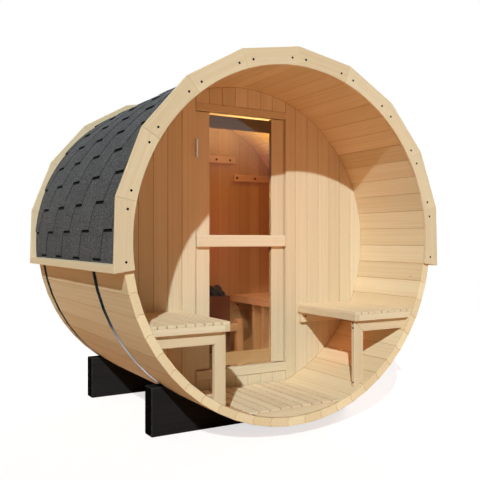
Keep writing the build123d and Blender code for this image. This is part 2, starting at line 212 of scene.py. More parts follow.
def boxBoard(low, high, along, across, ease, endEase=None):
    # An eased box of wood between two corners.
    outline = rectangle(low[0], high[0], low[2] - axisZ, high[2] - axisZ)
    return board(outline, low[1], high[1], along, across, ease, endEase)


def shadeGaps(slat, look, sides=(-1, 1)):
    # Seams and tone fade to a share, and the upright faces in the gaps take the seam's colour in part, as painted
    # shade in the gaps between slats.
    facing = faceNormals(slat)[:len(slat["quads"]), 0]
    inGap = (facing[:, None] * np.array(sides) > squareOn).any(1)
    slat["edge"] = np.maximum(slat["edge"] * look["seam"], look["gapShade"] * inGap)
    slat["tone"] *= look["toneShare"]


def joinParts(name, parts):
    # One mesh of several parts, with their wood coordinates, tone, eased faces and end grain as attributes.
    verts, faces, grain, tone, edge, end = [], [], [], [], [], []
    base = 0
    for part in parts:
        count = len(part["verts"])
        verts.append(part["verts"])
        faces += (part["quads"] + base).tolist() + [(cap + base).tolist() for cap in part["caps"]]
        grain.append(part.get("grain", part["verts"]))
        tone.append(np.full(count, part.get("tone", 0.0)))
        edge.append(np.concatenate([part["edge"], part.get("capEdge", np.zeros(len(part["caps"])))]))
        end.append(part.get("end", np.zeros(len(edge[-1]))))
        base += count
    mesh = bpy.data.meshes.new(name)
    mesh.from_pydata(np.concatenate(verts).tolist(), [], faces)
    for label, domain, values in (("grain", "POINT", grain), ("tone", "POINT", tone),
                                  ("edge", "FACE", edge), ("end", "FACE", end)):
        kind, field = ("FLOAT_VECTOR", "vector") if label == "grain" else ("FLOAT", "value")
        flat = np.concatenate(values).astype(np.float32).ravel()
        mesh.attributes.new(label, kind, domain).data.foreach_set(field, flat)
    solid = bmesh.new()
    solid.from_mesh(mesh)
    bmesh.ops.recalc_face_normals(solid, faces=solid.faces[:])
    solid.to_mesh(mesh)
    solid.free()
    return mesh


def addPiece(name, parts, material, nodes=(), body="sauna", smooth=False):
    mesh = joinParts(name, parts)
    mesh.materials.append(material)
    mesh.polygons.foreach_set("use_smooth", np.full(len(mesh.polygons), smooth))
    piece = bpy.data.objects.new(name, mesh)
    bpy.context.scene.collection.objects.link(piece)
    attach(piece, body)
    if nodes:
        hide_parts(*nodes)


# Node tools

def fillSockets(tree, sockets, values):
    # Each value is a socket to link, or a plain number, vector or colour to set.
    for key, value in values.items():
        if isinstance(value, bpy.types.NodeSocket):
            tree.links.new(value, sockets[key])
        else:
            sockets[key].default_value = (*value, 1.0) if sockets[key].type == "RGBA" else value


def addNode(tree, kind, inputs, **settings):
    made = tree.nodes.new("ShaderNode" + kind)
    for key, value in settings.items():
        setattr(made, key, value)
    fillSockets(tree, made.inputs, inputs)
    return made


def calc(tree, operation, a, b=0.0, clamp=False):
    return addNode(tree, "Math", {0: a, 1: b}, operation=operation, use_clamp=clamp).outputs[0]


def vectorCalc(tree, operation, a, b):
    key = "Scale" if operation == "SCALE" else 1
    return addNode(tree, "VectorMath", {0: a, key: b}, operation=operation).outputs[0]


def vectorLength(tree, vector):
    return addNode(tree, "VectorMath", {0: vector}, operation="LENGTH").outputs["Value"]


def noise(tree, vector, factors, detail=2.0, roughness=0.5):
    stretched = vectorCalc(tree, "MULTIPLY", vector, factors)
    inputs = {"Vector": stretched, "Scale": 1.0, "Detail": detail, "Roughness": roughness}
    return addNode(tree, "TexNoise", inputs).outputs[0]


def remap(tree, value, low, high, toLow=0.0, toHigh=1.0):
    inputs = {0: value, 1: low, 2: high, 3: toLow, 4: toHigh}
    return addNode(tree, "MapRange", inputs, interpolation_type="SMOOTHSTEP").outputs[0]


def mixColour(tree, factor, a, b):
    return addNode(tree, "Mix", {0: factor, 6: a, 7: b}, data_type="RGBA").outputs[2]


def newGroup(name, inputs, outputs):
    tree = bpy.data.node_groups.new(name, "ShaderNodeTree")
    kinds = dict(value="NodeSocketFloat", colour="NodeSocketColor", vector="NodeSocketVector")
    for way, sockets in (("INPUT", inputs), ("OUTPUT", outputs)):
        for label, kind in sockets.items():
            tree.interface.new_socket(name=label, in_out=way, socket_type=kinds[kind])
    return tree, tree.nodes.new("NodeGroupInput").outputs, tree.nodes.new("NodeGroupOutput").inputs


def placeGroup(tree, group, inputs):
    return addNode(tree, "Group", inputs, node_tree=group).outputs


def attribute(tree, label, output="Fac"):
    return addNode(tree, "Attribute", {}, attribute_name=label).outputs[output]


def objectPlace(tree):
    return addNode(tree, "TexCoord", {}).outputs["Object"]


def rayKind(tree, label):
    return addNode(tree, "LightPath", {}).outputs[label]


def mixShader(tree, factor, a, b):
    return addNode(tree, "MixShader", {0: factor, 1: a, 2: b}).outputs[0]


def startMaterial(name):
    material = bpy.data.materials.new(name)
    material.use_nodes = True
    tree = material.node_tree
    return material, tree, tree.nodes["Principled BSDF"].inputs


# Grain of all woods: sizes in metres, scales of noise per metre across, through and along
grainLook = dict(
    knotScale=(1, 1, 0.4), knotDensity=5.0, knotEdge=(0.012, 0.03), knotShare=0.85, swirlReach=0.16, swirl=0.008,
    warpScale=(6, 6, 0.6), warp=0.012, lateStops=((0.45, 0.06), (0.82, 0.62), (0.93, 1.0)), yearShare=0.6,
    fibreScale=(480, 480, 6), streakScale=(85, 85, 0.8), cloudScale=(10, 10, 0.7), fibre=0.35, streak=1.15,
    cloud=0.4, endCalm=0.75, lateBase=0.14, toneShift=(0.05, 0.068, 0.09), roughness=(0.5, 0.72), relief=-0.6)


def makeWoodGrain():
    # Year rings round the pith, bent by slow noise and by knots, over fibres and streaks along the grain.
    tree, given, out = newGroup(
        "woodGrain",
        {"Grain": "vector", "Tone": "value", "End": "value", "Early wood": "colour", "Late wood": "colour",
         "Knot": "colour", "Ring width": "value", "Figure": "value", "End tone": "value"},
        {"Colour": "colour", "Roughness": "value", "Height": "value"})
    look, grain = grainLook, given["Grain"]
    radius = vectorLength(tree, vectorCalc(tree, "MULTIPLY", grain, (1, 1, 0)))
    knotPlace = vectorCalc(tree, "MULTIPLY", grain, look["knotScale"])
    cell = addNode(tree, "TexVoronoi", {"Vector": knotPlace, "Scale": look["knotDensity"]})
    apart = cell.outputs["Distance"]
    knot = remap(tree, apart, *look["knotEdge"], 1.0, 0.0)
    swirl = remap(tree, apart, 0.0, look["swirlReach"], look["swirl"], 0.0)
    warp = calc(tree, "MULTIPLY", noise(tree, grain, look["warpScale"]), look["warp"])
    bent = calc(tree, "ADD", calc(tree, "ADD", radius, warp), swirl)
    rings = calc(tree, "DIVIDE", bent, given["Ring width"])
    year = addNode(tree, "TexWhiteNoise", {"W": calc(tree, "FLOOR", rings)}, noise_dimensions="1D")
    ramp = addNode(tree, "ValToRGB", {0: calc(tree, "FRACT", rings)})
    stops = ramp.color_ramp.elements
    for place, level in look["lateStops"]:
        stops.new(place).color = (level, level, level, 1.0)
    stops[0].color = stops[-1].color = (0, 0, 0, 1.0)
    yearly = calc(tree, "MULTIPLY", year.outputs["Value"], look["yearShare"])
    late = calc(tree, "MULTIPLY", ramp.outputs[0], calc(tree, "ADD", yearly, 1 - look["yearShare"]))
    fibre = noise(tree, grain, look["fibreScale"], 2.0)
    streak = noise(tree, grain, look["streakScale"], 3.0, 0.6)
    cloud = noise(tree, grain, look["cloudScale"], 1.0)
    amount = calc(tree, "MULTIPLY", late, given["Figure"])
    calm = calc(tree, "SUBTRACT", 1.0, calc(tree, "MULTIPLY", given["End"], look["endCalm"]))
    for layer, weight in ((fibre, look["fibre"]), (streak, look["streak"]), (cloud, look["cloud"])):
        shift = calc(tree, "MULTIPLY", calc(tree, "SUBTRACT", layer, 0.5), weight)
        amount = calc(tree, "ADD", amount, calc(tree, "MULTIPLY", shift, calm))
    amount = calc(tree, "ADD", amount, look["lateBase"], clamp=True)
    plain = mixColour(tree, amount, given["Early wood"], given["Late wood"])
    hue = vectorCalc(tree, "SCALE", look["toneShift"], given["Tone"])
    toned = vectorCalc(tree, "MULTIPLY", plain, vectorCalc(tree, "ADD", hue, (1, 1, 1)))
    knotty = mixColour(tree, calc(tree, "MULTIPLY", knot, look["knotShare"]), toned, given["Knot"])
    loss = calc(tree, "MULTIPLY", given["End"], calc(tree, "SUBTRACT", 1.0, given["End tone"]))
    fillSockets(tree, out, {
        "Colour": vectorCalc(tree, "SCALE", knotty, calc(tree, "SUBTRACT", 1.0, loss)),
        "Roughness": remap(tree, fibre, 0.2, 0.8, *look["roughness"]),
        "Height": calc(tree, "ADD", calc(tree, "MULTIPLY", amount, look["relief"]), fibre)})
    return tree


def makeEdgeTint():
    # Mixes an edge colour in on the eased edges, broken up by noise: a paler tone on most woods, and painted shade
    # in the joints where the colour is dark.
    tree, given, out = newGroup("edgeTint", {"Colour": "colour", "Edge": "value", "Place": "vector",
                                             "Edge colour": "colour", "Amount": "value"}, {"Colour": "colour"})
    patchy = remap(tree, noise(tree, given["Place"], (38, 38, 38), 3.0), 0.3, 0.7, 0.35, 1.0)
    factor = calc(tree, "MULTIPLY", calc(tree, "MULTIPLY", given["Edge"], given["Amount"]), patchy)
    fillSockets(tree, out, {"Colour": mixColour(tree, factor, given["Colour"], given["Edge colour"])})
    return tree


def makeGranules():
    # Two sizes of grain over slow blotches, for shingles and stove stones.
    tree, given, out = newGroup(
        "granules", {"Place": "vector", "Base": "colour", "Fleck": "colour", "Size": "value"},
        {"Colour": "colour", "Roughness": "value", "Height": "value"})
    place = vectorCalc(tree, "SCALE", given["Place"], calc(tree, "DIVIDE", 1.0, given["Size"]))
    cell = addNode(tree, "TexVoronoi", {"Vector": place, "Scale": 1.0})
    sparkle = addNode(tree, "SeparateColor", {0: cell.outputs["Color"]}).outputs[0]
    coarse = noise(tree, place, (0.35, 0.35, 0.35), 3.0, 0.65)
    blotch = noise(tree, given["Place"], (7, 7, 7), 2.0)
    lit = calc(tree, "MULTIPLY", remap(tree, sparkle, 0.35, 1.0), remap(tree, coarse, 0.35, 0.7, 0.5, 1.0))
    amount = calc(tree, "ADD", lit, remap(tree, blotch, 0.35, 0.65, -0.03, 0.03), clamp=True)
    fillSockets(tree, out, {"Colour": mixColour(tree, amount, given["Base"], given["Fleck"]),
                            "Roughness": remap(tree, sparkle, 0.0, 1.0, 0.95, 0.75),
                            "Height": calc(tree, "SUBTRACT", coarse, cell.outputs["Distance"])})
    return tree


def makeSmear():
    # Faint brushed streaks and hand smears, as a factor from 0 to 1.
    tree, given, out = newGroup("smear", {"Place": "vector"}, {"Brushed": "value", "Smears": "value"})
    blurred = noise(tree, given["Place"], (4, 4, 9), 4.0, 0.6)
    fillSockets(tree, out, {"Brushed": noise(tree, given["Place"], (30, 900, 30), 2.0),
                            "Smears": remap(tree, blurred, 0.35, 0.75)})
    return tree


woodGrain = makeWoodGrain()
edgeTint = makeEdgeTint()
granules = makeGranules()
smear = makeSmear()

# Finishes. A wood takes what it doesn't state from plainWood.
plainWood = dict(knot=(0.2, 0.085, 0.03), edgeAmount=0.35, ring=0.0042, figure=0.5, gloss=0.08, endTone=0.94,
                 bump=0.3, bumpDepth=0.0006)
woodLooks = dict(
    trimWood=dict(early=(0.84, 0.63, 0.4), late=(0.72, 0.475, 0.265), knot=(0.24, 0.1, 0.04),
                  edgeTone=(0.86, 0.67, 0.45), edgeAmount=0.3, endTone=0.96),
    clearWood=dict(early=(0.85, 0.645, 0.42), late=(0.73, 0.49, 0.275), edgeTone=(0.87, 0.69, 0.47)),
    # The dark edge colours of wallWood, slatWood and staveWood paint shade into the joints and gaps between
    # boards.
    wallWood=dict(early=(0.735, 0.58, 0.38), late=(0.62, 0.43, 0.245), edgeTone=(0.54, 0.27, 0.11),
                  edgeAmount=0.5),
    doorWood=dict(early=(0.73, 0.575, 0.38), late=(0.61, 0.425, 0.245), edgeTone=(0.8, 0.63, 0.43)),
    slatWood=dict(early=(0.9, 0.695, 0.45), late=(0.78, 0.535, 0.3), edgeTone=(0.46, 0.17, 0.055),
                  edgeAmount=0.8, endTone=0.96),
    staveWood=dict(early=(0.82, 0.61, 0.375), late=(0.68, 0.43, 0.21), edgeTone=(0.52, 0.26, 0.1),
                   edgeAmount=0.55, ring=0.0046, figure=0.55, gloss=0.06, endTone=1.17),
    blackStain=dict(early=(0.0215, 0.0188, 0.0178), late=(0.0124, 0.0108, 0.0102),
                    knot=(0.006, 0.006, 0.006), edgeTone=(0.06, 0.058, 0.057), edgeAmount=0.5, ring=0.005,
                    gloss=0.0, endTone=0.25))
gritLooks = dict(
    shingleFelt=dict(base=(0.063, 0.0585, 0.057), fleck=(0.23, 0.212, 0.205), size=0.0032,
                     bumpDepth=0.001, shade=(0.003, 0.003, 0.0033)),
    stoveStone=dict(base=(0.05, 0.068, 0.085), fleck=(0.17, 0.22, 0.26), size=0.004, bumpDepth=0.003,
                    shade=(0.02, 0.02, 0.02)))
grit = dict(toneShare=0.06, bump=0.6, gloss=0.08)
steelLooks = dict(
    bandSteel=dict(base=(0.36, 0.39, 0.43), rough=(0.22, 0.3), metallic=1.0, gloss=0.5),
    hingeSteel=dict(base=(0.86, 0.88, 0.9), rough=(0.3, 0.45), metallic=1.0, gloss=0.5),
    screwSteel=dict(base=(0.008, 0.007, 0.006), rough=(0.6, 0.75), metallic=0.0, gloss=0.05),
    stoveSteel=dict(base=(0.25, 0.13, 0.085), rough=(0.4, 0.55), metallic=0.0, gloss=0.5))
steelWear = dict(smears=0.35, dulled=0.72)
glass = dict(tint=(0.75, 0.64, 0.52), lampTint=(0.54, 0.42, 0.33), haze=0.006, ior=1.45)


def addBump(tree, strength, depth, height):
    return addNode(tree, "Bump", {"Strength": strength, "Distance": depth, "Height": height}).outputs[0]


def makeWood(name):
    look = {**plainWood, **woodLooks[name]}
    material, tree, shader = startMaterial(name)
    wood = placeGroup(tree, woodGrain, {
        "Grain": attribute(tree, "grain", "Vector"), "Tone": attribute(tree, "tone"),
        "End": attribute(tree, "end"), "Early wood": look["early"], "Late wood": look["late"],
        "Knot": look["knot"], "Ring width": look["ring"], "Figure": look["figure"], "End tone": look["endTone"]})
    # Eased edges take the edge colour; where it is dark it is painted shade in the joints.
    edgeTone = placeGroup(tree, edgeTint, {
        "Colour": wood["Colour"], "Edge": attribute(tree, "edge"), "Place": attribute(tree, "grain", "Vector"),
        "Edge colour": look["edgeTone"], "Amount": look["edgeAmount"]})
    fillSockets(tree, shader, {
        "Base Color": edgeTone["Colour"], "Roughness": wood["Roughness"], "Specular IOR Level": look["gloss"],
        "Normal": addBump(tree, look["bump"], look["bumpDepth"], wood["Height"])})
    return material


def makeGranular(name):
    look = gritLooks[name]
    material, tree, shader = startMaterial(name)
    grains = placeGroup(tree, granules, {"Place": objectPlace(tree), "Base": look["base"], "Fleck": look["fleck"],
                                         "Size": look["size"]})
    level = calc(tree, "ADD", calc(tree, "MULTIPLY", attribute(tree, "tone"), grit["toneShare"]), 1.0)
    toned = vectorCalc(tree, "SCALE", grains["Colour"], level)
    fillSockets(tree, shader, {
        "Base Color": mixColour(tree, attribute(tree, "edge"), toned, look["shade"]),
        "Roughness": grains["Roughness"], "Specular IOR Level": grit["gloss"],
        "Normal": addBump(tree, grit["bump"], look["bumpDepth"], grains["Height"])})
    return material


def makeSteel(name):
    look = steelLooks[name]
    material, tree, shader = startMaterial(name)
    marks = placeGroup(tree, smear, {"Place": objectPlace(tree)})
    smeared = calc(tree, "MULTIPLY", marks["Smears"], steelWear["smears"])
    dull = tuple(steelWear["dulled"] * level for level in look["base"])
    fillSockets(tree, shader, {
        "Base Color": mixColour(tree, smeared, look["base"], dull),
        "Roughness": remap(tree, marks["Brushed"], 0.2, 0.8, *look["rough"]),
        "Metallic": look["metallic"], "Specular IOR Level": look["gloss"]})
    return material


def makeGlass(name):
    # Lamps shine through it with a tint of their own.
    material, tree, shader = startMaterial(name)
    marks = placeGroup(tree, smear, {"Place": objectPlace(tree)})
    fillSockets(tree, shader, {
        "Roughness": remap(tree, marks["Smears"], 0.0, 1.0, 0.0, glass["haze"]), "Base Color": glass["tint"],
        "Transmission Weight": 1.0, "IOR": glass["ior"]})
    through = addNode(tree, "BsdfTransparent", {"Color": glass["lampTint"]}).outputs[0]
    both = mixShader(tree, rayKind(tree, "Is Shadow Ray"), tree.nodes["Principled BSDF"].outputs[0], through)
    tree.links.new(both, tree.nodes["Material Output"].inputs["Surface"])
    return material


trimWood, clearWood, wallWood, doorWood, slatWood, staveWood, blackStain = map(makeWood, woodLooks)
shingleFelt, stoveStone = map(makeGranular, gritLooks)
bandSteel, hingeSteel, screwSteel, stoveSteel = map(makeSteel, steelLooks)
bronzeGlass = makeGlass("bronzeGlass")
print("finishes:", len(bpy.data.materials), "materials from", len(bpy.data.node_groups), "groups")

# Staves
staves = dict(bead=0.0065, shoulder=0.006, ease=0.0018, beadPoints=7,
              groups=("upper_right", "lower_right", "bottom", "lower_left", "upper_left"))


def staveOutline():
    # At the height h the bead stands out by sqrt(r^2 - (h - middle)^2) - (r - bead); the cove on the
    # other edge is the same curve, one stave further round.
    thickness, shoulder, bead = barrel["thickness"], staves["shoulder"], staves["bead"]
    halfChord = thickness / 2 - shoulder
    r = (halfChord ** 2 + bead ** 2) / (2 * bead)
    onBead = np.linspace(shoulder, thickness - shoulder, staves["beadPoints"] + 2)
    heights = np.concatenate([[0], onBead, [thickness]])
    bulge = np.concatenate([[0], np.sqrt(r ** 2 - (onBead - thickness / 2) ** 2) - (r - bead), [0]])

    def edge(side):
        along = np.array([side * math.sin(halfStep), math.cos(halfStep)])
        outwards = np.array([math.cos(halfStep), -side * math.sin(halfStep)])
        reach = (innerApothem + heights) / math.cos(halfStep)
        return reach[:, None] * along + (bulge - side * barrel["gap"] / 2)[:, None] * outwards

    return np.concatenate([edge(1), edge(-1)[::-1]])


def makeStaves():
    # The outline is turned by one step from stave to stave, clockwise from the top.
    outline = staveOutline()
    perGroup = barrel["staves"] // len(staves["groups"])
    for group, name in enumerate(staves["groups"]):
        parts = []
        for index in range(group * perGroup, (group + 1) * perGroup):
            turn = -(2 * index + 1) * halfStep
            parts.append(board(turnOutline(outline, turn), barrelFront, barrelBack, yAxis,
                               (math.cos(turn), 0, math.sin(turn)), staves["ease"]))
        addPiece("staves_" + name, parts, staveWood, ["shell_" + name])


makeStaves()
print("staves:", barrel["staves"])

# Trim rings
trim = dict(cover=0.043, boards=10, stavesPerBoard=3, ease=0.0022, arcSteps=9, screwIn=0.043, screwRadius=0.955,
            headRoom=0.0012, toneShare=0.4)
trimHalf = trim["stavesPerBoard"] * halfStep
trimApothem = outerApothem + trim["cover"]
trimEnd = math.pi / 2 - trim["boards"] * trimHalf
screws = []


def addScrew(place, facing, size=1.0):
    screws.append((place, facing, size))


def trimOutline():
    # A straight outer edge, two mitred ends and the barrel's inner round.
    inset = barrel["gap"] / 2
    innerHalf = math.asin((innerApothem * math.sin(trimHalf) - inset) / innerApothem)
    inner = arcPoints(innerApothem, math.pi / 2 + innerHalf, math.pi / 2 - innerHalf, trim["arcSteps"])
    outerHalf = trimApothem * math.tan(trimHalf) - inset
    return np.concatenate([inner, [(outerHalf, trimApothem), (-outerHalf, trimApothem)]])


def makeTrim(name, node, outward):
    # The outline is turned by one board after another, with a screw beside each mitre.
    low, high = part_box(node)
    start, end = (low.y + trim["headRoom"], high.y) if outward < 0 else (low.y, high.y - trim["headRoom"])
    face = start if outward < 0 else end
    screwTurn = math.asin(trim["screwIn"] / trim["screwRadius"])
    parts = []
    for index in range(trim["boards"]):
        turn = (2 * index + 1 - trim["boards"]) * trimHalf
        c, s = math.cos(turn), math.sin(turn)
        parts.append(board(turnOutline(trimOutline(), turn), start, end, (c, 0, s), (-s, 0, c), trim["ease"]))
        parts[-1]["tone"] *= trim["toneShare"]
        for side in (-1, 1):
            angle = math.pi / 2 + turn + side * trimHalf - side * screwTurn
            x, z = trim["screwRadius"] * math.cos(angle), trim["screwRadius"] * math.sin(angle)
            addScrew((x, face, axisZ + z), (0, outward, 0))
    addPiece(name, parts, trimWood, [node])


makeTrim("front_trim_boards", "front_trim", -1)
makeTrim("rear_trim_boards", "rear_trim", 1)
print("trim boards:", 2 * trim["boards"])

# Roof: boarding, six-sided shingle tabs, ridge caps and eave battens
roof = dict(boarding=0.0045, boardingEase=0.0005, firstRow=math.radians(184.8), rowStep=math.radians(8.36),
            pitch=0.3514, firstTab=0.3465, tabFoot=0.12, tabWaist=0.2305, footLift=0.0083, lossPerRow=0.003,
            felt=0.0028, tuck=0.1, bandShare=0.1, tabGap=0.0016, leastWidth=0.001, bevel=0.002, bevelShare=0.4,
            bevelSink=0.0008, sideShade=0.25, bevelShade=0.12, buttShare=0.3, rows=(-2, 11), stations=11,
            arcSteps=41)
ridge = dict(halfAngle=math.radians(9), length=0.33, showing=0.2, felt=0.0016, lift=0.01, slope=1.3, band=0.008,
             bandShade=0.9, sideShade=0.5, stations=13)
eave = dict(height=0.036, ease=0.002)
eaveTop = trimEnd + eave["height"] / trimApothem
roofBase = coverInner + roof["boarding"]


def roofBoarding(mirror):
    # Thin curved skin under the shingles, with no dark edges.
    outer = arcPoints(roofBase, eaveTop, math.pi / 2, roof["arcSteps"])
    inner = arcPoints(coverInner, math.pi / 2, eaveTop, roof["arcSteps"])
    outline = np.concatenate([outer, inner])
    part = easedPrism(mirrorOutline(outline) if mirror else outline, barrelFront, barrelBack, roof["boardingEase"])
    part["edge"] = np.zeros(len(part["quads"]))
    return part


def shingleTab(row, middle, side):
    # A curved hexagon: s counts rows up the roof, the half width is foot + (waist - foot) (1 - |s - 1|),
    # and the felt sinks by the same step from row to row, so that the next tabs lie on it.
    footAngle = roof["firstRow"] - row * roof["rowStep"]
    first = max(0.0, (footAngle - (math.pi - eaveTop)) / roof["rowStep"])
    last = min(2 + roof["tuck"], (footAngle - math.pi / 2) / roof["rowStep"])
    marks = [value for value in (1.0, 2 - roof["bandShare"]) if first < value < last]
    s = np.unique(np.concatenate([np.linspace(first, last, roof["stations"]), marks]))
    flare = (roof["tabWaist"] - roof["tabFoot"]) / 2 * (1 - np.abs(s - 1))
    half = roof["tabFoot"] / 2 + flare - roof["tabGap"] / 2
    low = np.clip(middle - half, barrelFront, barrelBack - roof["leastWidth"])
    high = np.clip(middle + half, barrelFront + roof["leastWidth"], barrelBack)
    if (high - low).max() < 2 * roof["leastWidth"]:
        return None
    high = np.maximum(high, low + roof["leastWidth"])
    top = roofBase + roof["footLift"] - roof["lossPerRow"] * s
    butt = np.clip(1 - s / roof["buttShare"], 0, 1)
    under = top - roof["felt"] - (2 * roof["lossPerRow"] - roof["felt"]) * butt
    angle = footAngle - roof["rowStep"] * s
    inset = np.minimum(roof["bevel"], roof["bevelShare"] * (high - low))
    y = np.stack([low, high, high, high - inset, low + inset, low], 1)
    radius = np.stack([under, under, top - roof["bevelSink"], top, top, top - roof["bevelSink"]], 1)
    rings = aroundAxis(angle, radius, y) * [side, 1, 1]
    banded = (s[:-1] + s[1:]) / 2 > 2 - roof["bandShare"]
    shades = [0, roof["sideShade"], roof["bevelShade"], 0, roof["bevelShade"], roof["sideShade"]]
    part = skinRings(rings, np.maximum(banded[:, None], shades))
    part["capEdge"] = np.array([float(first == 0), 0.0])
    part["tone"] = float(rng.uniform(-1, 1))
    return part


def makeRoofHalf(name, node, side):
    # Rows of tabs, every other one shifted by half a pitch. The side is 1 on the left and -1 on the right.
    parts = [roofBoarding(side > 0)]
    perRow = int((barrelBack - barrelFront) / roof["pitch"])
    for row in range(*roof["rows"]):
        start = barrelFront + roof["firstTab"] - (row % 2) * roof["pitch"] / 2
        tabs = [shingleTab(row, start + index * roof["pitch"], side) for index in range(-1, perRow + 2)]
        parts += [tab for tab in tabs if tab is not None]
    addPiece(name, parts, shingleFelt, [node])
    return len(parts) - 1


def makeRidge():
    # Caps bent over the ridge. Each falls by slope times the felt to where the next one lies on it,
    # and is dark on a narrow band before that one's butt.
    angle = math.pi / 2 + np.linspace(-1, 1, ridge["stations"]) * ridge["halfAngle"]
    count = round((barrelBack - barrelFront) / ridge["showing"])
    parts = []
    for index in range(count):
        start = barrelFront + index * ridge["showing"]
        end = min(start + ridge["length"], barrelBack)
        covered = min(start + ridge["showing"], end - ridge["band"])
        y = np.array([start, end, end, covered, covered - ridge["band"], start])
        under = ridge["felt"] * np.array([1, 1, 0, 0, 0, 0])
        fall = ridge["felt"] * ridge["slope"] * (y - start) / ridge["showing"]
        radius = roofBase + ridge["lift"] - under - fall
        rings = aroundAxis(angle, radius, y)
        band = ridge["bandShade"] * (index < count - 1)
        part = skinRings(rings, np.broadcast_to([0, 0, 0, band, 0, 1], (len(angle) - 1, len(y))))
        part["capEdge"] = np.full(2, ridge["sideShade"])
        part["tone"] = float(rng.uniform(-1, 1))
        parts.append(part)
    addPiece("ridge_caps", parts, shingleFelt)


def makeEaves():
    # Battens flush with the outer line of the trim boards.
    middle = trimEnd + trimHalf
    corners = [(coverInner, trimEnd), (trimApothem / math.cos(middle - trimEnd), trimEnd),
               (trimApothem / math.cos(middle - eaveTop), eaveTop), (coverInner, eaveTop)]
    outline = np.array([(r * math.cos(a), r * math.sin(a)) for r, a in corners])
    for side, shape in (("right", outline), ("left", mirrorOutline(outline))):
        part = board(shape, barrelFront, barrelBack, yAxis, zAxis, eave["ease"])
        addPiece("eave_batten_" + side, [part], trimWood, ["eave_" + side])


tabs = makeRoofHalf("shingles_left", "roof_left", 1) + makeRoofHalf("shingles_right", "roof_right", -1)
makeRidge()
makeEaves()
print("roof:", tabs, "shingle tabs")

# Hoops
hoops = dict(ease=0.0004, bendShare=0.06, sideSteps=2)


def makeHoop(name, node):
    # A flat band along the staves' polygon: at an angle a past a stave's middle its radius is apothem / cos a.
    low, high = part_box(node)
    half = (high.y - low.y) / 2
    section = roundCorners(rectangle(-half, half, 0, barrel["hoopThickness"]), hoops["ease"])[0]
    past = np.linspace(-1 + hoops["bendShare"], 1 - hoops["bendShare"], hoops["sideSteps"] + 2) * halfStep
    middles = math.pi / 2 - (2 * np.arange(barrel["staves"]) + 1) * halfStep
    angle = (middles[:, None] - past[None, :]).ravel()
    stretch = np.tile(1 / np.cos(past), barrel["staves"])[:, None]
    reach = stretch * (outerApothem + barrel["seat"] + section[None, :, 1])
    rings = aroundAxis(angle, reach, (low.y + high.y) / 2 + section[:, 0])
    part = skinRings(np.concatenate([rings, rings[:1]]))
    part["verts"] = rings.reshape(-1, 3)  # the last ring is the first one, so there are no caps
    part["quads"] = part["quads"] % len(part["verts"])
    part["caps"] = []
    addPiece(name, [part], bandSteel, [node])


makeHoop("front_band", "hoop_front")
makeHoop("rear_band", "hoop_rear")
print("hoops: 2")

# Cradles
cradles = dict(ease=0.005, arcSteps=25)


def makeCradle(name, node):
    # A beam hollowed to the barrel's round.
    low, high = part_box(node)
    seat = outerApothem / math.cos(halfStep) + barrel["seat"] + barrel["hoopThickness"]
    top, bottom = high.z - axisZ, low.z - axisZ
    start = math.atan2(top, math.sqrt(seat ** 2 - top ** 2))
    hollow = arcPoints(seat, start, -math.pi - start, cradles["arcSteps"])
    corners = [(low.x, top), (low.x, bottom), (high.x, bottom), (high.x, top)]
    part = board(np.concatenate([hollow, corners]), low.y, high.y, xAxis, zAxis, cradles["ease"])
    addPiece(name, [part], blackStain, [node])


makeCradle("front_cradle_beam", "cradle_front")
makeCradle("rear_cradle_beam", "cradle_rear")
print("cradles: 2")

# End walls of upright boards with V joints
wallBoards = dict(pitch=0.08742, phase=0.0375, ease=0.0024, fineEase=0.0008, gap=0.0008, leastWidth=0.02,
                  arcSteps=9)


def wallStrips(xLow, xHigh, zLow, zHigh):
    # Upright boards side by side; each end is level, or follows the lining where that is nearer.
    pitch, phase, least = wallBoards["pitch"], wallBoards["phase"], wallBoards["leastWidth"]
    first = math.ceil((xLow + least - phase) / pitch)
    last = math.floor((xHigh - least - phase) / pitch)
    edges = np.concatenate([[xLow], phase + pitch * np.arange(first, last + 1), [xHigh]])
    outlines = []
    for left, right in zip(edges[:-1] + wallBoards["gap"] / 2, edges[1:] - wallBoards["gap"] / 2):
        angles = np.linspace(math.acos(left / lining), math.acos(right / lining), wallBoards["arcSteps"])
        x, arc = lining * np.cos(angles), lining * np.sin(angles)
        bottom, top = np.maximum(-arc, zLow), np.minimum(arc, zHigh)
        outlines.append(np.concatenate([np.stack([x, bottom], 1), np.stack([x, top], 1)[::-1]]))
    return outlines


def makeWall(name, node, xLow, xHigh, zLow=-math.inf, zHigh=math.inf, front="ease"):
    # The boards of one wall. What front names is the ease of their front rims.
    low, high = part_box(node)
    parts = [board(outline, low.y, high.y, zAxis, xAxis, wallBoards[front], wallBoards["ease"])
             for outline in wallStrips(xLow, xHigh, zLow, zHigh)]
    addPiece(name, parts, wallWood, [node])


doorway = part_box("front_wall_right")[0].x
wallEdge = lining - barrel["seat"]
makeWall("front_boards_left", "front_wall_left", -wallEdge, -doorway)
makeWall("front_boards_right", "front_wall_right", doorway, wallEdge)
overLow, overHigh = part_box("front_wall_over_door")
makeWall("front_boards_over_door", "front_wall_over_door", overLow.x, overHigh.x, zLow=overLow.z - axisZ)
underLow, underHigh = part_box("front_wall_under_door")
makeWall("front_boards_under_door", "front_wall_under_door", underLow.x, underHigh.x, zHigh=underHigh.z - axisZ)
makeWall("back_boards", "back_wall", -wallEdge, wallEdge, front="fineEase")
print("walls: 5")

# Head and sill of the doorway
doorFrame = dict(ease=0.0022)


def makeCrossBoard(name, node, ease, endEase=None, body="sauna"):
    # A level board that fills its node's box.
    part = boxBoard(*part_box(node), xAxis, zAxis, ease, endEase)
    addPiece(name, [part], doorWood, [node], body)


makeCrossBoard("door_head_board", "door_lintel", doorFrame["ease"])
makeCrossBoard("door_sill_board", "door_sill", doorFrame["ease"])

# Battens on the back wall
battens = dict(height=0.05, ease=0.0025, upperHalf=0.427, sideStart=0.418, upperLevel=0.594, sideLevel=0.467,
               upperScrews=(0.268, 0.381), sideScrews=(0.441, 0.596), screwSize=1.4)


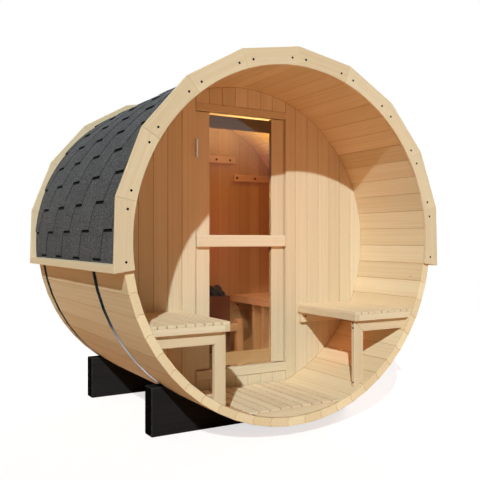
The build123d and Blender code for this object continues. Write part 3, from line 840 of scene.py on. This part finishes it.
def makeBattens():
    # One straight batten and two side ones cut along the lining, with two screws on each half.
    low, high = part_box("back_wall_battens")
    half = battens["height"] / 2
    upperLevel, sideLevel = battens["upperLevel"], battens["sideLevel"]
    upper = rectangle(-battens["upperHalf"], battens["upperHalf"], upperLevel - half, upperLevel + half)
    side = cutByLining(battens["sideStart"], lining, sideLevel - half, sideLevel + half)
    parts = [board(shape, low.y, high.y, xAxis, zAxis, battens["ease"])
             for shape in (upper, side, mirrorOutline(side))]
    addPiece("wall_battens", parts, clearWood, ["back_wall_battens"])
    for level, places in ((upperLevel, battens["upperScrews"]), (sideLevel, battens["sideScrews"])):
        for x in places:
            for place in (x, -x):
                addScrew((place, low.y, axisZ + level), (0, -1, 0), battens["screwSize"])


makeBattens()
print("battens: 3")

# Duckboard floors
floors = dict(slatWidth=0.058, slatGap=0.008, slats=9, bearerWidth=0.045, bearerInset=0.002, ease=0.0025,
              arcSteps=13, seam=0.5, gapShade=0.6, toneShare=0.5)


def makeFloor(room, bearerCount):
    # Slats with gaps, the outer ones cut along the lining, on bearers that fill the round below.
    low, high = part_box(room + "_floor_slats")
    width, ease = floors["slatWidth"], floors["ease"]
    pitch = width + floors["slatGap"]
    first = -(floors["slats"] * pitch - floors["slatGap"]) / 2
    zLow, zHigh = low.z - axisZ, high.z - axisZ
    slats = []
    for index in range(floors["slats"]):
        left = first + index * pitch
        if left + width / 2 < 0:
            shape = mirrorOutline(cutByLining(-left - width, -left, zLow, zHigh))
        else:
            shape = cutByLining(left, left + width, zLow, zHigh)
        slats.append(board(shape, low.y, high.y, yAxis, xAxis, ease))
        shadeGaps(slats[-1], floors)
    addPiece(room + "_duckboard", slats, slatWood, [room + "_floor_slats"])

    start = math.atan2(zLow, -liningReach(zLow))
    bed = arcPoints(lining, start, -math.pi - start, floors["arcSteps"])
    step = (high.y - low.y - 2 * floors["bearerInset"] - floors["bearerWidth"]) / (bearerCount - 1)
    fronts = [low.y + floors["bearerInset"] + index * step for index in range(bearerCount)]
    bearers = [board(bed, front, front + floors["bearerWidth"], xAxis, zAxis, ease) for front in fronts]
    addPiece(room + "_bearers", bearers, clearWood, [room + "_floor_bearers"])


makeFloor("porch", 3)
makeFloor("cabin", 4)
print("floors: 2")

# Benches
benches = dict(slatWidth=0.042, slatGap=0.007, slats=9, railThickness=0.028, frameWidth=0.062,
               frameThickness=0.027, frameInset=0.013, frameSetback=0.024, mitreGap=0.0004, ease=0.0022,
               cabinFrameFromWall=0.383, cabinFramePitch=0.118, seam=0.3, gapShade=0.4, toneShare=0.5,
               legScrews=(-0.015, -0.042), footScrew=0.026, cleatScrew=(0.033, -0.025))


def benchSlats(low, high):
    # Rectangles at an even pitch, the outer ones cut along the lining.
    starts = low.x + (benches["slatWidth"] + benches["slatGap"]) * np.arange(benches["slats"])
    return [cutByLining(left, left + benches["slatWidth"], low.z - axisZ, high.z - axisZ) for left in starts]


def frameRail(xLow, top):
    # Rail of a leg frame: mitred on the left, cut along the lining on the right.
    low, gap = top - benches["frameWidth"], benches["mitreGap"]
    start, end = (math.atan2(level, liningReach(level)) for level in (low, top))
    arc = arcPoints(lining, start, end, rims["liningSteps"])
    return np.array([(xLow + benches["frameWidth"] + gap, low), *arc, (xLow + gap, top)])


def frameLeg(xLow, top):
    # Leg of a leg frame: mitred at the top, cut along the lining at the foot.
    xHigh, gap = xLow + benches["frameWidth"], benches["mitreGap"]
    arc = arcPoints(lining, -math.acos(xLow / lining), -math.acos(xHigh / lining), rims["liningSteps"])
    return np.array([*arc, (xHigh, top - benches["frameWidth"] - gap), (xLow, top - gap)])


def makeBench(name, nodes, mirror, frameFronts, frontCleat):
    # Slats on an edge rail and two cross rails, carried by mitred leg frames and by cleats on the walls.
    slatNode, railNode, frameNode = nodes
    side = -1 if mirror else 1

    def rightBox(node):
        low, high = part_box(node)
        if mirror:
            low.x, high.x = -high.x, -low.x
        return low, high

    def beam(shape, start, end, along, across):
        return board(mirrorOutline(shape) if mirror else shape, start, end, along, across, benches["ease"])

    low, high = rightBox(slatNode)
    slats = [beam(shape, low.y, high.y, yAxis, xAxis) for shape in benchSlats(low, high)]
    for index, slat in enumerate(slats):
        shadeGaps(slat, benches, (-1, 1) if index else (side,))
    addPiece(name + "_seat", slats, slatWood, [slatNode])

    low, high = rightBox(railNode)
    zLow, zHigh = low.z - axisZ, high.z - axisZ
    thickness = benches["railThickness"]
    edgeBack = low.x + thickness
    rails = [beam(rectangle(low.x, edgeBack, zLow, zHigh), low.y, high.y, yAxis, zAxis)]
    cross = cutByLining(edgeBack + barrel["seat"], lining, zLow, zHigh)
    rails += [beam(cross, front, front + thickness, xAxis, zAxis) for front in (low.y, high.y - thickness)]
    addPiece(name + "_rails", rails, clearWood, [railNode])

    xLow = low.x + benches["frameInset"]
    thickness = benches["frameThickness"]
    frames = []
    for front in frameFronts:
        frames.append(beam(frameRail(xLow, zLow), front, front + thickness, xAxis, zAxis))
        frames.append(beam(frameLeg(xLow, zLow), front, front + thickness, zAxis, xAxis))
        foot = -math.sqrt(lining ** 2 - xLow ** 2)
        for level in [zLow + drop for drop in benches["legScrews"]] + [foot + benches["footScrew"]]:
            addScrew((side * xLow, front + thickness / 2, axisZ + level), (-side, 0, 0))
    cleat = cutByLining(xLow, lining, zLow - benches["frameWidth"], zLow)
    screwIn, screwDrop = benches["cleatScrew"]
    for front, facing in ((high.y - thickness, -1), (low.y, 1))[:1 + frontCleat]:
        frames.append(beam(cleat, front, front + thickness, xAxis, zAxis))
        face = front if facing < 0 else front + thickness
        addScrew((side * (xLow + screwIn), face, axisZ + zLow + screwDrop), (0, facing, 0))
    addPiece(name + "_frame", frames, clearWood, [frameNode])


for side in ("left", "right"):
    nodes = [side + "_porch_bench_" + part for part in ("slats", "rails", "frame")]
    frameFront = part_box(nodes[1])[0].y + benches["frameSetback"]
    makeBench(side + "_porch_bench", nodes, side == "left", [frameFront], False)
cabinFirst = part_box("front_wall_right")[1].y + benches["cabinFrameFromWall"]
makeBench("cabin_bench", ["cabin_bench_slats", "cabin_bench_rails", "cabin_bench_frames"], False,
          [cabinFirst, cabinFirst + benches["cabinFramePitch"]], True)
print("benches: 3")

# Door leaf
leaf = dict(ease=0.002, barEase=0.004, barBackEase=0.0005, glassEase=0.0006, grooveDepth=0.0093,
            grooveSlack=0.0003, lowerRail=0.077, upperRail=0.073)


def makeDoor():
    # Stiles with a groove for the glass, two rails, the push bar and the pane.
    low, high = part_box("door_stiles")
    paneLow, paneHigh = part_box("door_glass")
    inner = paneHigh.x - leaf["grooveDepth"] + leaf["grooveSlack"]
    bottom = inner + leaf["grooveDepth"]
    front, back = paneLow.y - leaf["grooveSlack"], paneHigh.y + leaf["grooveSlack"]
    right = np.array([(inner, low.y), (high.x, low.y), (high.x, high.y), (inner, high.y),
                      (inner, back), (bottom, back), (bottom, front), (inner, front)])
    stiles = [board(shape, low.z, high.z, zAxis, xAxis, leaf["ease"], upright=True)
              for shape in (right, mirrorOutline(right))]
    addPiece("door_stile_boards", stiles, doorWood, ["door_stiles"], "door")

    low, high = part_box("door_rails")
    levels = ((low.z, low.z + leaf["lowerRail"]), (high.z - leaf["upperRail"], high.z))
    rails = [boxBoard((low.x, low.y, zLow), (high.x, high.y, zHigh), xAxis, zAxis, leaf["ease"])
             for zLow, zHigh in levels]
    addPiece("door_rail_boards", rails, doorWood, ["door_rails"], "door")

    makeCrossBoard("door_push_bar", "door_crossbar", leaf["barEase"], leaf["barBackEase"], "door")
    pane = boxBoard(paneLow, paneHigh, zAxis, xAxis, leaf["glassEase"])
    addPiece("door_pane", [pane], bronzeGlass, ["door_glass"], "door")


makeDoor()

# Hinges
hinges = dict(height=0.104, plate=0.0015, plateGap=0.004, plateEase=0.0003, radius=0.006, middleShare=0.4,
              endGap=0.0005, pinRadius=0.003, pinTuck=0.001, sides=24, ease=0.0005)


def makeHinges():
    # Each hinge has two knuckles and the pin on the jamb, and one knuckle between them on the leaf.
    jambLow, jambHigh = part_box("hinges_jamb")
    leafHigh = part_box("hinges_leaf")[1]
    pinX, pinY = frame["record"]["behaviour"]["joints"][0]["pos_m"][:2]
    angles = np.linspace(0, 2 * math.pi, hinges["sides"], endpoint=False)
    circle = np.stack([np.cos(angles), np.sin(angles)], 1)

    def knuckle(zLow, zHigh, radius=hinges["radius"]):
        return easedPrism((pinX, pinY) + radius * circle, zLow, zHigh, hinges["ease"], upright=True)

    def plate(xLow, yHigh, zLow, zHigh):
        low = (xLow, pinY + hinges["plateGap"], zLow)
        return boxBoard(low, (xLow + hinges["plate"], yHigh, zHigh), zAxis, yAxis, hinges["plateEase"])

    jamb, swinging = [], []
    for zLow in (jambLow.z, jambHigh.z - hinges["height"]):
        zHigh, middle = zLow + hinges["height"], zLow + hinges["height"] / 2
        half = hinges["height"] * hinges["middleShare"] / 2
        lower, upper = middle - half, middle + half
        for ends in ((zLow, lower - hinges["endGap"]), (upper + hinges["endGap"], zHigh)):
            jamb += [knuckle(*ends), plate(jambLow.x, jambHigh.y, *ends)]
        jamb.append(knuckle(lower - hinges["pinTuck"], upper + hinges["pinTuck"], hinges["pinRadius"]))
        swinging += [knuckle(lower, upper), plate(leafHigh.x - hinges["plate"], leafHigh.y, lower, upper)]
    addPiece("jamb_hinge_halves", jamb, hingeSteel, ["hinges_jamb"])
    addPiece("leaf_hinge_halves", swinging, hingeSteel, ["hinges_leaf"], "door")


makeHinges()
print("door: leaf and hinges")

# Stove with its stones and guard. A layer of stones has its columns, rows, rise and radius.
stove = dict(sheet=0.003, foot=0.04, tray=0.08, ease=0.001)
stones = dict(layers=((7, 6, -0.012, 0.031), (6, 4, 0.018, 0.029), (4, 3, 0.04, 0.026)), around=12, upward=7,
              poleGap=0.12, lump=0.32, waves=4, waveSpread=2.2, size=(0.85, 1.12), stretch=(0.85, 1.15),
              flatten=0.85, toneLimit=1.5, margin=0.006, lean=0.9, jitter=0.006)
guard = dict(post=0.045, railTop=0.308, railHeight=0.054, railThickness=0.022, ease=0.0025)


def makeStove():
    # Four sheets and the tray's floor on four feet.
    low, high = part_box("heater_body")
    sheet, foot = stove["sheet"], stove["foot"]
    base, trayFloor = low.z + foot, high.z - stove["tray"]
    innerLow, innerHigh = (low.x + sheet, low.y + sheet), (high.x - sheet, high.y - sheet)
    panels = [((low.x, low.y, base), (high.x, innerLow[1], high.z)),
              ((low.x, innerHigh[1], base), (high.x, high.y, high.z)),
              ((low.x, innerLow[1], base), (innerLow[0], innerHigh[1], high.z)),
              ((innerHigh[0], innerLow[1], base), (high.x, innerHigh[1], high.z)),
              ((*innerLow, trayFloor - sheet), (*innerHigh, trayFloor))]
    panels += [((x, y, low.z), (x + foot, y + foot, base))
               for x in (low.x, high.x - foot) for y in (low.y, high.y - foot)]
    parts = [boxBoard(a, b, xAxis, zAxis, stove["ease"]) for a, b in panels]
    addPiece("stove_casing", parts, stoveSteel, ["heater_body"])


def stoneParts(centres, radius):
    # A lumpy ball: the radius along a direction d is 1 + lump * the mean of cos(k . d + phase) over the waves.
    up = np.linspace(stones["poleGap"], math.pi - stones["poleGap"], stones["upward"])[:, None]
    turn = np.linspace(0, 2 * math.pi, stones["around"], endpoint=False)
    d = np.stack([np.sin(up) * np.cos(turn), np.sin(up) * np.sin(turn), np.cos(up) + 0 * turn], -1)
    parts = []
    for centre in centres:
        waves = rng.normal(0, stones["waveSpread"], (stones["waves"], 3))
        phase = rng.uniform(0, 2 * math.pi, stones["waves"])
        size = radius * rng.uniform(*stones["size"])
        size = size * rng.uniform(*stones["stretch"], 3) * [1, 1, stones["flatten"]]
        lump = 1 + stones["lump"] * np.cos(d @ waves.T + phase).mean(-1)
        part = skinRings(centre + d * lump[..., None] * size)
        part["tone"] = float(rng.uniform(-stones["toneLimit"], stones["toneLimit"]))
        parts.append(part)
    return parts


def makeStones():
    # Layers of stones on a grid, each shifted a little and set further in than the layer below.
    low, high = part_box("heater_body")
    parts = []
    for columns, rows, rise, radius in stones["layers"]:
        inset = radius + stones["margin"] + max(rise, 0) * stones["lean"]
        x = np.linspace(low.x + inset, high.x - inset, columns)
        y = np.linspace(low.y + inset, high.y - inset, rows)
        centres = np.stack(np.meshgrid(x, y, [high.z + rise], indexing="ij"), -1).reshape(-1, 3)
        parts += stoneParts(centres + rng.uniform(-stones["jitter"], stones["jitter"], centres.shape), radius)
    addPiece("stove_stones", parts, stoveStone, ["heater_stones"], smooth=True)
    return len(parts)


def makeGuard():
    # Two posts with a rail between them and one rail back from each.
    low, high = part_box("heater_guard")
    post, thick, ease = guard["post"], guard["railThickness"], guard["ease"]
    zHigh = low.z + guard["railTop"]
    zLow = zHigh - guard["railHeight"]
    inset = (post - thick) / 2
    back = low.y + post
    parts = []
    for x in (low.x, high.x - post):
        parts.append(boxBoard((x, low.y, low.z), (x + post, back, high.z), zAxis, xAxis, ease))
        parts.append(boxBoard((x + inset, back, zLow), (x + inset + thick, high.y, zHigh), yAxis, zAxis, ease))
    parts.append(boxBoard((low.x + post, low.y, zLow), (high.x - post, low.y + thick, zHigh), xAxis, zAxis, ease))
    addPiece("stove_guard", parts, clearWood, ["heater_guard"])


makeStove()
print("stove:", makeStones(), "stones")
makeGuard()

# Screw heads: each ring of the dome has its share of the radius and its rise
screwHeads = dict(radius=0.0064, sides=10, rings=((1.0, -0.0004), (0.96, 0.0006), (0.7, 0.0011)))


def makeScrews():
    # Low domes: each ring of the profile is carried round the screw's own axis.
    angles = np.linspace(0, 2 * math.pi, screwHeads["sides"], endpoint=False)[:, None]
    parts = []
    for place, facing, size in screws:
        facing = np.asarray(facing, float)
        one = np.cross(facing, zAxis)
        circle = screwHeads["radius"] * size * (np.cos(angles) * one + np.sin(angles) * np.cross(facing, one))
        parts.append(skinRings(np.stack([np.asarray(place) + share * circle + rise * facing
                                         for share, rise in screwHeads["rings"]])))
    addPiece("screw_heads", parts, screwSteel)


makeScrews()
print("screws:", len(screws))

# Stage, light and camera
studio = dict(floorHalf=14.0, floorDrop=-0.001, floorTone=(0.54, 0.43, 0.39), floorBounce=(0.72, 0.44, 0.27),
              floorLift=0.7, fadeStart=2.6, fadeEnd=6.0, ambient=(0.1, 0.08, 0.066),
              horizonTone=(0.009, 0.02, 0.03), horizonStart=0.07, horizonEnd=0.16, nearFloor=0.7,
              farFloor=1.9, sunHeight=4.0)
suns = dict(
    studio_sun=dict(travel=(0.4874, 0.675, -0.5539), strength=3.25, angle=1.0, colour=(0.79, 0.99, 1.09)),
    studio_fill=dict(travel=(-0.6, -0.62, -0.5), strength=2.4, angle=25.0, colour=(0.83, 0.99, 1.07)))
# Light thrown back by the sunlit boards. The lamps' heights count from the barrel's axis.
bounceLamps = dict(
    porch_bounce=dict(power=1.1, colour=(1.0, 0.26, 0.055), place=(0.1, -0.79, 0.06), facing=(0, 0.88, 0.47),
                      size=(1.1, 1.1), spread=130),
    cabin_bounce=dict(power=2.3, colour=(1.0, 0.28, 0.2), place=(-0.5, 0.2, -0.05), facing=(0.8, 0.6, 0),
                      size=(0.5, 1.1), spread=110),
    cabin_glow=dict(power=2.8, colour=(1.0, 0.86, 0.46), place=(0.25, 0.19, 0.35), facing=(0, 0.09, 0.99),
                    size=(0.7, 0.3), spread=100))
for name, side in (("left", -1), ("right", 1)):
    bounceLamps[name + "_bench_bounce"] = dict(
        power=0.06, colour=(1.0, 0.15, 0.02), place=(side * 0.54, -0.45, -0.57), facing=(side * 0.7, 0.4, -0.6),
        size=(0.25, 0.25), spread=150)
view = dict(place=(-2.0074, -3.6489, 1.0435), turn=-30.21, lens=49.66)


def seenDirectly(tree):
    # 1 on camera, mirror and glass rays, 0 on the rays that light the object.
    path = addNode(tree, "LightPath", {}).outputs
    seen = calc(tree, "MAXIMUM", path["Is Camera Ray"], path["Is Glossy Ray"])
    return calc(tree, "MAXIMUM", seen, path["Is Transmission Ray"])


def glow(tree, tone, strength=1.0):
    return addNode(tree, "Emission", {"Color": tone, "Strength": strength}).outputs[0]


def makeFloorStage():
    # Pale floor that keeps the shadow and fades to white away from the object. Mirrors see it dark far off.
    half, level = studio["floorHalf"], studio["floorDrop"]
    mesh = bpy.data.meshes.new("studio_floor")
    corners = [(-half, -half, level), (half, -half, level), (half, half, level), (-half, half, level)]
    mesh.from_pydata(corners, [], [(0, 1, 2, 3)])
    material, tree, shader = startMaterial("studioFloor")
    seen = seenDirectly(tree)
    tone = mixColour(tree, seen, studio["floorBounce"], studio["floorTone"])
    fillSockets(tree, shader, {"Base Color": tone, "Roughness": 1.0, "Specular IOR Level": 0.0})
    away = vectorLength(tree, objectPlace(tree))
    fade = calc(tree, "MULTIPLY", remap(tree, away, studio["fadeStart"], studio["fadeEnd"]), seen)
    lift = glow(tree, (1, 1, 1), calc(tree, "MULTIPLY", seen, studio["floorLift"]))
    near = addNode(tree, "AddShader", {0: tree.nodes["Principled BSDF"].outputs[0], 1: lift}).outputs[0]
    pale = mixShader(tree, fade, near, glow(tree, (1, 1, 1)))
    far = remap(tree, away, studio["nearFloor"], studio["farFloor"])
    mirrored = calc(tree, "MULTIPLY", far, rayKind(tree, "Is Glossy Ray"))
    final = mixShader(tree, mirrored, pale, glow(tree, studio["horizonTone"]))
    tree.links.new(final, tree.nodes["Material Output"].inputs["Surface"])
    mesh.materials.append(material)
    floor = bpy.data.objects.new("studio_floor", mesh)
    bpy.context.scene.collection.objects.link(floor)


def makeWorld():
    # Soft even light, white where it is seen directly, with a dark horizon in mirrors.
    world = bpy.data.worlds.new("studio")
    bpy.context.scene.world = world
    world.use_nodes = True
    tree = world.node_tree
    tone = mixColour(tree, seenDirectly(tree), studio["ambient"], (1, 1, 1))
    heading = addNode(tree, "TexCoord", {}).outputs["Generated"]
    rise = addNode(tree, "SeparateXYZ", {0: heading}).outputs["Z"]
    low = remap(tree, rise, studio["horizonStart"], studio["horizonEnd"], 1.0, 0.0)
    mirrored = calc(tree, "MULTIPLY", low, rayKind(tree, "Is Glossy Ray"))
    tone = mixColour(tree, mirrored, tone, studio["horizonTone"])
    tree.links.new(tone, tree.nodes["Background"].inputs["Color"])


def aim(direction):
    # Turn that points a lamp along a direction.
    across, depth, rise = direction
    return (math.atan2(math.hypot(across, depth), -rise), 0, math.atan2(-across, depth))


def addLamp(name, kind, energy, tint, place, direction):
    lamp = bpy.data.lights.new(name, kind)
    lamp.energy = energy
    lamp.color = tint
    holder = bpy.data.objects.new(name, lamp)
    holder.location = place
    holder.rotation_euler = aim(direction)
    bpy.context.scene.collection.objects.link(holder)
    return holder, lamp


def makeLights():
    for name, look in suns.items():
        place = (0, 0, studio["sunHeight"])
        lamp = addLamp(name, "SUN", look["strength"], look["colour"], place, look["travel"])[1]
        lamp.angle = math.radians(look["angle"])
    for name, look in bounceLamps.items():
        x, y, z = look["place"]
        holder, lamp = addLamp(name, "AREA", look["power"], look["colour"], (x, y, axisZ + z), look["facing"])
        lamp.shape = "RECTANGLE"
        lamp.size, lamp.size_y = look["size"]
        lamp.spread = math.radians(look["spread"])
        holder.visible_camera = holder.visible_glossy = holder.visible_transmission = False


def makeCamera():
    lens = bpy.data.cameras.new("camera")
    lens.lens = view["lens"]
    camera = bpy.data.objects.new("camera", lens)
    camera.location = view["place"]
    camera.rotation_euler = (math.pi / 2, 0, math.radians(view["turn"]))
    bpy.context.scene.collection.objects.link(camera)
    bpy.context.scene.camera = camera


makeFloorStage()
makeWorld()
makeLights()
makeCamera()
bpy.context.scene.view_settings.view_transform = "Standard"
print("studio: floor, world, lamps and camera")
